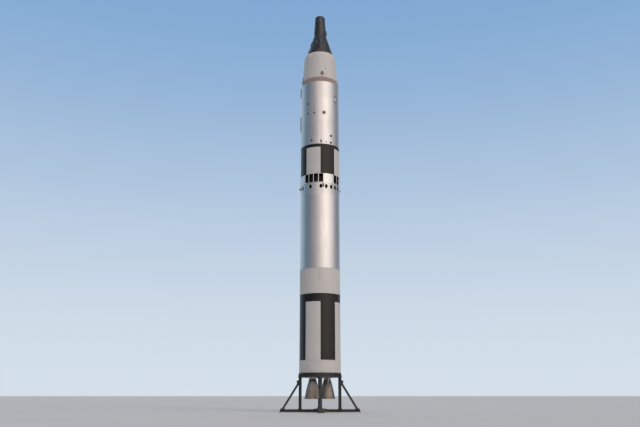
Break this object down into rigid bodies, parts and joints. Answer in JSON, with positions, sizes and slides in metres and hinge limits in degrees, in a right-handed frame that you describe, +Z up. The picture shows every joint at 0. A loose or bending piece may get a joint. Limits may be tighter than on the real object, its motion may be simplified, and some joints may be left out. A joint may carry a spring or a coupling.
{
  "type": "two-stage space launch rocket with a crew capsule, on a display stand",
  "caption": "Tall silver and white two-stage launch rocket with black roll patterns, a black two-seat crew capsule on a white adapter, swivelling engine chambers, on a dark steel stand.",
  "frame": {"origin": "on the floor, at the middle of the stand's hub plate, under the rocket's axis", "axes": "+Z up along the rocket's axis; -Y is the side that faces the camera of the picture, +X its right"},
  "size_m": [5.9, 5.9, 32.15],
  "materials": {
    "bare_silver_skin": "satin, faintly streaked",
    "white_paint": "satin",
    "black_and_white_paint": "satin, eight black and white fields under a black ring",
    "red_brown_paint": "matte primer",
    "charcoal_shingle": "matte, beaded",
    "window_glass": "clear",
    "seat_cloth": "woven",
    "engine_metal": "heat-tinted",
    "stand_paint": "matte dark paint"
  },
  "bodies": {
    "airframe": {"stand_base": "stand_paint", "stand_ring": "stand_paint", "stand_leg_right": "stand_paint", "stand_leg_back": "stand_paint", "stand_leg_left": "stand_paint", "stand_leg_front": "stand_paint", "aft_skirt": "white_paint", "lower_tank": "black_and_white_paint", "middle_band": "white_paint", "upper_tank": "bare_silver_skin", "forward_skirt": "bare_silver_skin", "vent_ring": "bare_silver_skin", "thrust_frame": "engine_metal", "turbopump_back": "engine_metal", "turbopump_front": "engine_metal", "first_stage_raceway": "bare_silver_skin", "interstage": "black_and_white_paint", "second_stage_engine": "engine_metal", "second_stage_lower_tank": "bare_silver_skin", "second_stage_upper_tank": "bare_silver_skin", "second_stage_raceway_lower": "bare_silver_skin", "second_stage_raceway_upper": "bare_silver_skin", "mating_ring": "red_brown_paint", "adapter_lower": "white_paint", "adapter_upper": "white_paint", "heat_shield": "red_brown_paint", "cabin_shell": "charcoal_shingle", "seat_left": "seat_cloth", "seat_right": "seat_cloth", "instrument_panel": "charcoal_shingle", "control_section": "charcoal_shingle", "sensor_fairing": "charcoal_shingle", "nose_section": "charcoal_shingle", "nose_cover": "charcoal_shingle"},
    "gimbal_cross_back": {"gimbal_cross_back": "engine_metal"},
    "thrust_chamber_back": {"thrust_chamber_back": "engine_metal"},
    "pitch_rod_back": {"pitch_rod_back": "engine_metal"},
    "yaw_rod_back": {"yaw_rod_back": "engine_metal"},
    "gimbal_cross_front": {"gimbal_cross_front": "engine_metal"},
    "thrust_chamber_front": {"thrust_chamber_front": "engine_metal"},
    "pitch_rod_front": {"pitch_rod_front": "engine_metal"},
    "yaw_rod_front": {"yaw_rod_front": "engine_metal"},
    "hatch_right": {"hatch_right": "charcoal_shingle", "hatch_pane_right": "window_glass"},
    "hatch_left": {"hatch_left": "charcoal_shingle", "hatch_pane_left": "window_glass"}
  },
  "joints": [
    {"name": "gimbal_pitch_back", "type": "hinge", "parent": "airframe", "child": "gimbal_cross_back", "pos_m": [0.55154, 0.55154, 3.06], "axis": [0.7071, 0.7071, 0], "range_deg": [-5, 5]},
    {"name": "gimbal_yaw_back", "type": "hinge", "parent": "gimbal_cross_back", "child": "thrust_chamber_back", "pos_m": [0.55154, 0.55154, 3.06], "axis": [-0.7071, 0.7071, 0], "range_deg": [-5, 5]},
    {"name": "pitch_rod_slide_back", "type": "slide", "parent": "airframe", "child": "pitch_rod_back", "axis": [0, 0, 1], "range_m": [-0.037, 0.037]},
    {"name": "yaw_rod_slide_back", "type": "slide", "parent": "airframe", "child": "yaw_rod_back", "axis": [0, 0, 1], "range_m": [-0.037, 0.037]},
    {"name": "gimbal_pitch_front", "type": "hinge", "parent": "airframe", "child": "gimbal_cross_front", "pos_m": [-0.55154, -0.55154, 3.06], "axis": [-0.7071, -0.7071, 0], "range_deg": [-5, 5]},
    {"name": "gimbal_yaw_front", "type": "hinge", "parent": "gimbal_cross_front", "child": "thrust_chamber_front", "pos_m": [-0.55154, -0.55154, 3.06], "axis": [0.7071, -0.7071, 0], "range_deg": [-5, 5]},
    {"name": "pitch_rod_slide_front", "type": "slide", "parent": "airframe", "child": "pitch_rod_front", "axis": [0, 0, 1], "range_m": [-0.037, 0.037]},
    {"name": "yaw_rod_slide_front", "type": "slide", "parent": "airframe", "child": "yaw_rod_front", "axis": [0, 0, 1], "range_m": [-0.037, 0.037]},
    {"name": "hatch_right_hinge", "type": "hinge", "parent": "airframe", "child": "hatch_right", "pos_m": [-0.10166, -0.84489, 29.2563], "axis": [0.0349, 0.302, 0.9527], "range_deg": [0, 95]},
    {"name": "hatch_left_hinge", "type": "hinge", "parent": "airframe", "child": "hatch_left", "pos_m": [-0.84971, 0.04659, 29.2563], "axis": [-0.3034, 0.0181, -0.9527], "range_deg": [0, 95]}
  ],
  "couplings": [
    {"joint": "pitch_rod_slide_back", "follows": "gimbal_pitch_back", "m_per_rad": 0.42},
    {"joint": "yaw_rod_slide_back", "follows": "gimbal_yaw_back", "m_per_rad": 0.42},
    {"joint": "pitch_rod_slide_front", "follows": "gimbal_pitch_front", "m_per_rad": 0.42},
    {"joint": "yaw_rod_slide_front", "follows": "gimbal_yaw_front", "m_per_rad": 0.42}
  ]
}
